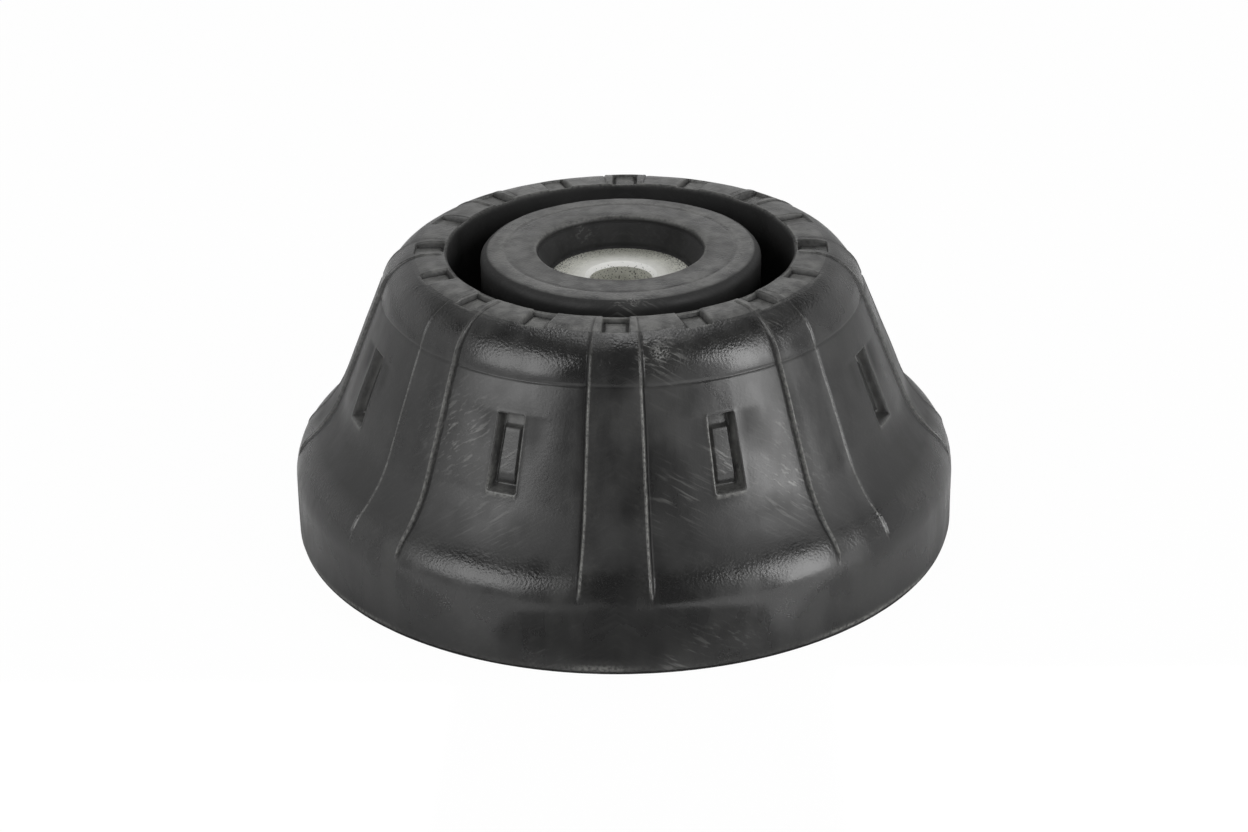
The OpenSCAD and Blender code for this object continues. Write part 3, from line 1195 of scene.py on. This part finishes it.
    def _strips(self, skin: Skin) -> None:
        """Raises the strips, with flash along their edges and a crease beside them that is painted dark as
        shade.

        Args:
            skin: The sector, which is changed.
        """
        marks = self.marks
        inside = skin.radius * (math.radians(self.strip_half_angle) - self._from_strip(skin))
        less = (self.strip_ring_proud - self.strip_proud) * marks.strip_top.at(skin.height)
        whole = marks.strip_foot.at(skin.height - self.strip_foot_h) * (self.strip_proud + less)
        whole = whole * marks.strip_lip.at(skin.radius - self.notch_r) * skin.on(Zone.OUTSIDE)
        above = (1 - marks.strip_ledge_share) * marks.strip_ledge.at(skin.height)
        crease = marks.crease.at(inside) * marks.crease_end.at(whole)
        joint = marks.flash_end.at(whole)
        proud = whole * (marks.strip_ledge_share + above) * marks.strip_edge.at(inside)
        skin.push(proud - self.crease_depth * crease + self.flash_h * marks.flash_ridge.at(inside) * joint)
        kept = 1 - marks.flash_fade_share * marks.flash_fade.at(skin.height)
        skin.flash_and_highlight = skin.flash_and_highlight + marks.flash.at(inside) * joint * kept
        # The crease is painted darker as shade
        skin.shade(crease)

    def _joints(self, skin: Skin) -> None:
        """Marks the tool's joints round the cone, on the buffer ring and in its mouth, where the groove is
        painted dark as shade.

        Args:
            skin: The sector, which is changed.
        """
        marks = self.marks
        on_buffer = skin.on(Zone.BUFFER)
        on_top = on_buffer & (skin.height > self.buffer_top_h - self.flat_play)
        in_mouth = on_buffer & (skin.radius < self.mouth_r)
        from_line = skin.radius - self.buffer_line_r
        mouth_line = marks.mouth_line.at(skin.height - self.mouth_line_h) * in_mouth
        depth = marks.parting.at(skin.height - self.parting_h) * self._on_cone(skin)
        depth = depth + marks.mouth_line_depth * mouth_line + marks.buffer_line.at(from_line) * on_top
        depth = depth + marks.seat_groove.at(skin.height - self.core_top_h) * in_mouth
        skin.push(-depth)
        skin.flash_and_highlight = skin.flash_and_highlight + marks.buffer_ridge.at(from_line) * on_top
        # The mouth's groove is painted darker as shade
        skin.shade(mouth_line)

    def _windows(self, skin: Skin) -> None:
        """Cuts the windows straight inwards, with a brim, a pale sill lip, a pad on the floor and faint sinks
        beside them. The sill lip is partly flash and partly a painted highlight, and the sinks are painted
        darker as shade.

        Args:
            skin: The sector, which is changed.
        """
        marks = self.marks
        on_cone = self._on_cone(skin)
        side = skin.radius * (math.radians(self.window_angle / 2) - self._from_window(skin))
        above_sill = skin.height - self.window_sill_h
        below_head = self.window_head_h - skin.height
        ends = np.minimum(above_sill, below_head)
        pocket = marks.window_side.at(side) * marks.window_end.at(ends) * on_cone
        pad = marks.pad_side.at(side - self.window_pad_inset)
        pad = pad * marks.pad_foot.at(above_sill - self.window_pad_inset)
        pad = pad * marks.pad_head.at(below_head - self.window_pad_drop)
        brim = marks.brim.at(np.minimum(side, ends)) * on_cone
        sunken = bead(side + self.window_pad_inset + self.sink_w, self.sink_w) * on_cone
        sunken = sunken * marks.sink_head.at(below_head)
        sunken = sunken * (1 - smooth(marks.sink_full_share * self.sink_h, self.sink_h, below_head))
        skin.new_r = skin.new_r + self.window_brim_h * brim - self.sink_depth * sunken
        skin.new_r = skin.new_r - pocket * (self.window_depth - self.window_pad_h * pad)
        # The sill's pale lip is partly flash and partly a painted highlight
        sill_flash_and_highlight = marks.sill_flash_and_highlight.at(above_sill) * marks.sill_side.at(side) * on_cone
        skin.flash_and_highlight = skin.flash_and_highlight + marks.brim_pale * brim + sill_flash_and_highlight + marks.pad_pale * pad * pocket
        skin.walls = marks.window_wall.at(pocket) * (1 - pad)
        # The sinks are painted darker as shade
        skin.shade(marks.sink_shade * sunken * (1 - pocket))

    def _notches(self, skin: Skin) -> None:
        """Cuts the top ring's notches, each with a thin lip at the opening and a pad on its floor, with the
        moat round the pad painted dark as shade.

        Args:
            skin: The sector, which is changed.
        """
        marks = self.marks
        near_top = skin.on(Zone.OUTSIDE, Zone.OPENING) & (skin.height > self.ring_h - self.notch_reach)
        from_lip, from_end = skin.radius - self.notch_r, skin.radius - self.notch_end_r
        for gap in (self._from_strip(skin), self._from_window(skin)):
            here = near_top & (gap < math.pi / self.strips / 2)
            width = self.notch_w / 2 - np.maximum(skin.radius, self.notch_r) * np.sin(gap)
            across = marks.notch_edge.at(width) * here
            along = marks.notch_start.at(from_lip) * (1 - marks.notch_end.at(from_end))
            sunk = across * along
            moat = 1 - marks.notch_moat.at(width) * marks.notch_moat.at(from_lip)
            floor_h = self.ring_h - self.notch_depth - self.notch_moat_depth * moat
            skin.new_h = skin.new_h + (floor_h - skin.new_h) * sunk
            lip = across * (1 - along) * (from_lip < self.lip_w)
            skin.new_h = skin.new_h + np.minimum(self.ring_h - self.lip_drop - skin.new_h, 0) * lip
            pale = marks.notch_side.at(width) * along * here + marks.notch_ridge.at(from_end) * across
            skin.flash_and_highlight = skin.flash_and_highlight + pale + marks.notch_floor_pale * sunk * (1 - moat)
            # The moat round the pad is painted darker as shade
            skin.shade(sunk * moat)

    def _attributes(self, skin: Skin) -> dict[str, np.ndarray]:
        """Works out what the material reads at each point.

        Args:
            skin: The shaped sector.

        Returns:
            The attributes, by name.
        """
        marks = self.marks
        radius, height = skin.radius, skin.height
        outside, buffer = skin.on(Zone.OUTSIDE), skin.on(Zone.BUFFER)
        from_mouth, below_top = radius - self.mouth_r, self.buffer_top_h - height
        mouth_lip = buffer & (from_mouth < self.mouth_lip_w) & (below_top < self.mouth_lip_h)
        recess = buffer & (from_mouth < self.seat_wall_w) & (below_top > self.seat_wall_drop)
        foot = (height < self.foot_h + self.foot_play) & (radius > self.recess_edge_r)
        still = skin.on(Zone.BOND) | (height < self.still_h)

        # The opening's rim and the mouth's lip carry painted highlights, and the foot has a thin pale edge
        rim = skin.on(Zone.OUTSIDE, Zone.OPENING) & (height > self.ring_h - self.rim_edge_h)
        flash_and_highlight = skin.flash_and_highlight + marks.rim_highlight.at(radius - self.opening_r) * rim
        flash_and_highlight = flash_and_highlight + marks.mouth_lip_highlight.at(from_mouth) * mouth_lip
        flash_and_highlight = flash_and_highlight + marks.foot_edge.at(height) * outside * (height < self.foot_edge_h)

        # Inner walls, the recess, the foot band and shaded creases, grooves, moats and sinks are duller and
        # painted darker as shade, the flare is duller and darker, the shoulders are polished, and level faces
        # hold dust
        level = marks.level.at(skin.normal_h) * (height > self.core_top_h)
        level = np.where(mouth_lip, marks.mouth_level.at(skin.normal_h), level)
        flare = marks.flare.at(height) * outside
        polished = marks.top_polish.at(height) + marks.skirt_polish_share * marks.skirt_polish.at(height)
        # The recess wall is painted fully deep black as shade, and the other inner walls are painted darker
        # as shade where they are not level
        matt_and_painted_shade = np.where(recess, 1.0, np.where(outside, 0.0, marks.inner_matt_and_shade * (1 - level)))
        matt_and_painted_shade = np.maximum(np.maximum(matt_and_painted_shade, marks.shade_matt * skin.shaded), marks.flare_matt * flare)
        matt_and_painted_shade = matt_and_painted_shade - marks.polish * polished * outside * (1 - skin.shaded)
        # The foot band under the skirt's edge is painted fully deep black as shade
        matt_and_painted_shade = np.where(foot, 1.0, np.where(mouth_lip, marks.mouth_matt, matt_and_painted_shade))
        dust = level * np.where(buffer, marks.buffer_dust, 1.0) * (1 - skin.shaded)
        grain = marks.coarse_grain * marks.coarse_start.at(skin.normal_h) * (1 - flare)
        return {
            "skin": np.where(still, 0.0, 1.0),
            "flash": np.clip(flash_and_highlight, 0, 1),
            "matt_and_painted_shade": matt_and_painted_shade,
            "dust": np.maximum(dust, marks.wall_dust * skin.walls),
            "grain": marks.fine_grain + grain,
        }

    def build(self, ring: SectorRing, finish: bpy.types.Material) -> bpy.types.Object:
        """Makes the body.

        Args:
            ring: The tree that repeats a sector.
            finish: The body's material.

        Returns:
            The piece.
        """
        points, attributes = self.grid()
        sector = sector_mesh("insulator_sector", points, attributes)
        sizes = {
            "Count": self.strips,
            "Weld": self.weld_mm * MM,
            "Wobble": self.wobble_mm * MM,
            "Wobble scale": per_mm(self.wobble_wave_mm),
            "Flash height": self.flash_lump_mm * MM,
            "Flash scale": per_mm(self.flash_wave_mm),
            "Seed": self.seed,
            "Finish": finish,
        }
        piece = ring.make("moulded_insulator", sector, sizes)
        self.wear(piece.data)
        return piece

    def wear(self, mesh: bpy.types.Mesh) -> None:
        """Marks the rubbed patches, the worn foot edges and the painted highlights on window edges, and thins
        flash and dust at the sides.

        Args:
            mesh: The body's mesh.
        """
        marks = self.marks
        places = np.empty(len(mesh.vertices) * 3)
        mesh.vertices.foreach_get("co", places)
        places = places.reshape(-1, 3)
        rubbed = np.full(len(places), marks.handling)
        for mark in SCUFFS:
            angle = np.radians(mark.angle)
            middle = turned_points(np.array(mark.radius), np.array(mark.height), angle)
            rubbed += mark.strength * bead(np.linalg.norm(places - middle, axis=1), mark.size * MM)
        layer = mesh.attributes.new("scuff", "FLOAT", "POINT")
        layer.data.foreach_set("value", np.clip(rubbed, 0, 1).astype(np.float32))

        radius = np.hypot(places[:, 0], places[:, 1]) / MM
        height = places[:, 2] / MM
        turn = np.degrees(np.arctan2(places[:, 0], -places[:, 1]))
        pale = np.zeros(len(places))
        for worn in WORN_EDGES:
            along = marks.worn_turn.at(turn - worn.first) * (1 - marks.worn_turn.at(turn - worn.last))
            pale += worn.strength * along * bead(height - worn.height, worn.thickness)
        pale = pale * (radius > self.recess_edge_r)
        # Painted highlights along upright window edges, laid into the flash mark
        for worn in SIDE_HIGHLIGHTS:
            along = marks.highlight_ends.at(height - worn.bottom)
            along = along * (1 - marks.highlight_ends.at(height - worn.top))
            along = along * (radius > self.cone_r(worn.top) - self.highlight_depth)
            pale += worn.strength * along * bead(np.radians(turn - worn.angle) * radius, worn.thickness)

        side = (places[:, 0] / MM / np.maximum(radius, 1)) ** 2 * (radius > self.opening_r)
        for name, loss, gain in (
            ("flash", marks.side_flash_loss, pale),
            ("dust", marks.side_dust_loss, 0.0),
        ):
            values = np.empty(len(places), np.float32)
            mesh.attributes[name].data.foreach_get("value", values)
            values = np.clip(values * (1 - loss * side) + gain, 0, 1)
            mesh.attributes[name].data.foreach_set("value", values.astype(np.float32))


@dataclass(frozen=True)
class Softbox:
    """A soft lamp aimed at the part.

    Its turn is from -Y towards +X and its rise from the floor, in degrees. Its distance,
    width and height are in metres, and its radiance is 1 where its face is white.
    """

    name: str
    turn: float
    rise: float
    distance: float
    width: float
    height: float
    radiance: float


@dataclass(frozen=True)
class FloorBoard:
    """A board on the floor before the part: its edges in metres, its colour and its glow."""

    name: str
    left: float
    right: float
    back: float
    colour: str
    glow: float


@dataclass
class Studio:
    """Camera, floor and soft light. Camera sizes are in millimetres, degrees and pixels, others in metres."""

    camera_distance: float = 475.1
    camera_height: float = 250.3
    camera_turn: float = 1.696
    pitch: float = 25.829
    yaw: float = 0.019
    roll: float = -0.875
    focal_px: float = 2652.9
    sensor_mm: float = 36.0
    clip_start: float = 0.01
    floor_size: float = 6.0
    floor_colour: str = "#f2f2f2"
    floor_roughness: float = 0.9
    floor_lift: float = 0.98
    felt_half_w: float = 0.6
    felt_near: float = -1.1
    felt_far: float = 1.0
    felt_high: float = 0.9
    top_felt_half_w: float = 1.0
    front_felt: str = "#4a4a4a"
    top_felt: str = "#3a3a3a"
    board_front: float = -0.5
    board_h: float = 0.001
    aim_h: float = 0.03
    diffuse_surround: float = 0.4
    glossy_surround: float = 0.7
    boards: tuple = (
        FloorBoard("left_board", -0.7, -0.03, -0.068, "#f2f2f2", 0.5),
        FloorBoard("right_board", 0.04, 0.7, -0.063, "#f2f2f2", 1.1),
        FloorBoard("front_board", -0.03, 0.04, -0.068, "#a0a0a0", 0.0),
    )
    softboxes: tuple = (
        Softbox("left_softbox", -49, 29, 0.95, 0.56, 0.58, 3.5),
        Softbox("right_softbox", 62, 21, 0.95, 0.36, 0.7, 6.2),
        Softbox("top_softbox", 180, 73, 0.8, 0.28, 0.36, 4.4),
    )

    def camera(self) -> None:
        """Sets up the camera at the photograph's viewing angle."""
        data = bpy.data.cameras.new("camera")
        data.sensor_fit = "HORIZONTAL"
        data.sensor_width = self.sensor_mm
        data.lens = self.focal_px / IMAGE_WIDTH * self.sensor_mm
        data.clip_start = self.clip_start
        pitch, yaw, roll = (math.radians(a) for a in (self.pitch, self.yaw, self.roll))
        ahead = Vector((math.sin(yaw) * math.cos(pitch), math.cos(yaw) * math.cos(pitch), -math.sin(pitch)))
        level = Vector((math.cos(yaw), -math.sin(yaw), 0))
        above = level.cross(ahead)
        right = math.cos(roll) * level + math.sin(roll) * above
        up = math.cos(roll) * above - math.sin(roll) * level
        place = Vector((0, -self.camera_distance, self.camera_height)) * MM
        pose = Matrix((
            (right.x, up.x, -ahead.x, place.x),
            (right.y, up.y, -ahead.y, place.y),
            (right.z, up.z, -ahead.z, place.z),
            (0, 0, 0, 1),
        ))
        camera = bpy.data.objects.new("camera", data)
        bpy.context.scene.collection.objects.link(camera)
        camera.matrix_world = Matrix.Rotation(math.radians(self.camera_turn), 4, "Z") @ pose
        bpy.context.scene.camera = camera

    def lamp(self, box: Softbox) -> None:
        """Hangs one soft box, which the camera doesn't see.

        Args:
            box: The soft box.
        """
        data = bpy.data.lights.new(box.name, "AREA")
        data.shape = "RECTANGLE"
        data.size, data.size_y = box.width, box.height
        data.energy = box.radiance * math.pi * box.width * box.height
        lamp = bpy.data.objects.new(box.name, data)
        bpy.context.scene.collection.objects.link(lamp)
        turn, rise = math.radians(box.turn), math.radians(box.rise)
        level = math.cos(rise)
        away = Vector((math.sin(turn) * level, -math.cos(turn) * level, math.sin(rise)))
        lamp.location = away * box.distance + Vector((0, 0, self.aim_h))
        lamp.rotation_euler = away.to_track_quat("Z", "Y").to_euler()
        lamp.visible_camera = False

    def sheet(self, name: str, corners: list, material: bpy.types.Material) -> bpy.types.Object:
        """Puts up a flat sheet that is no part of the object.

        Args:
            name: Name of the sheet.
            corners: Its four corners, in metres.
            material: Its material.

        Returns:
            The sheet.
        """
        mesh = bpy.data.meshes.new(name)
        mesh.from_pydata(corners, [], [(0, 1, 2, 3)])
        mesh.materials.append(material)
        sheet = bpy.data.objects.new(name, mesh)
        bpy.context.scene.collection.objects.link(sheet)
        return sheet

    def floor(self) -> None:
        """Lays the pale floor, which stays white to the camera and keeps a faint shadow."""
        paint = bpy.data.materials.new("white_board")
        paint.use_nodes = True
        tree = paint.node_tree
        shader = tree.nodes["Principled BSDF"]
        shader.inputs["Base Color"].default_value = linear(self.floor_colour)
        shader.inputs["Roughness"].default_value = self.floor_roughness
        seen = add(tree, "ShaderNodeLightPath").outputs["Is Camera Ray"]
        glow = add(tree, "ShaderNodeEmission", None, {"Color": (1, 1, 1, 1), "Strength": 1.0}).outputs[0]
        lift = add(tree, MATH, MULTIPLY, {0: seen, 1: self.floor_lift}).outputs[0]
        mix = add(tree, "ShaderNodeMixShader", None, {0: lift, 1: shader.outputs[0], 2: glow}).outputs[0]
        tree.links.new(mix, tree.nodes["Material Output"].inputs["Surface"])
        half = self.floor_size / 2
        self.sheet("floor", [(-half, -half, 0), (half, -half, 0), (half, half, 0), (-half, half, 0)], paint)

    def card(self, name: str, corners: list, colour: str, glow: float) -> bpy.types.Object:
        """Hangs a card that the camera doesn't see.

        Args:
            name: Name of the card.
            corners: Its four corners, in metres.
            colour: Its sRGB colour.
            glow: How bright it is by itself, where 1 is white.

        Returns:
            The card.
        """
        felt = bpy.data.materials.new(name)
        felt.use_nodes = True
        shader = felt.node_tree.nodes["Principled BSDF"]
        shader.inputs["Base Color"].default_value = linear(colour)
        shader.inputs["Roughness"].default_value = 1.0
        shader.inputs["Emission Color"].default_value = linear(colour)
        shader.inputs["Emission Strength"].default_value = glow
        card = self.sheet(name, corners, felt)
        card.visible_camera = False
        return card

    def cards(self) -> None:
        """Hangs dark felt in front of and over the part, and lays boards on the floor before it."""
        near, far, high = self.felt_near, self.felt_far, self.felt_high
        half, wide, low = self.felt_half_w, self.top_felt_half_w, self.board_h
        front = [(-half, near, 0), (half, near, 0), (half, near, high), (-half, near, high)]
        self.card("front_felt", front, self.front_felt, 1.0)
        over = [(-wide, near, high), (wide, near, high), (wide, far, high), (-wide, far, high)]
        self.card("top_felt", over, self.top_felt, 1.0)
        for board in self.boards:
            corners = [(x, self.board_front, low) for x in (board.left, board.right)]
            corners += [(x, board.back, low) for x in (board.right, board.left)]
            card = self.card(board.name, corners, board.colour, board.glow)
            card.visible_shadow = False

    def surround(self) -> None:
        """Makes the white surround, which lights the part softly."""
        world = bpy.data.worlds.new("white_studio")
        bpy.context.scene.world = world
        world.use_nodes = True
        tree = world.node_tree
        rays = add(tree, "ShaderNodeLightPath").outputs
        seen = {0: rays["Is Camera Ray"], 1: rays["Is Transmission Ray"]}
        seen = add(tree, MATH, MAXIMUM, seen).outputs[0]
        soft = Ramp(0.0, 1.0, self.diffuse_surround, self.glossy_surround)
        soft = add(tree, RAMP, None, soft.feeds(rays["Is Glossy Ray"])).outputs[0]
        strength = add(tree, MATH, MAXIMUM, {0: seen, 1: soft}).outputs[0]
        glow = tree.nodes["Background"]
        glow.inputs["Color"].default_value = (1, 1, 1, 1)
        tree.links.new(strength, glow.inputs["Strength"])

    def build(self) -> None:
        """Sets up camera, floor, cards, surround and lamps."""
        bpy.context.scene.view_settings.view_transform = "Standard"
        self.camera()
        self.floor()
        self.cards()
        self.surround()
        for box in self.softboxes:
            self.lamp(box)


def main() -> None:
    """Builds the pieces, dresses them and sets up the studio."""
    logging.basicConfig(level=logging.INFO, format="%(name)s: %(message)s")
    Studio().build()
    ring = SectorRing()
    rubber = MouldedRubber().material()
    steel = ZincPlatedSteel().material()
    for maker, finish, node, slot in (
        (RubberInsulator(), rubber, "rubber_insulator", "moulded_rubber"),
        (SteelCore(), steel, "steel_core", "zinc_plated_steel"),
    ):
        piece = maker.build(ring, finish)
        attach(piece, "root")
        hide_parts(node)
        log.info("%s: %d faces", piece.name, len(piece.data.polygons))


if __name__ == "__main__":
    main()
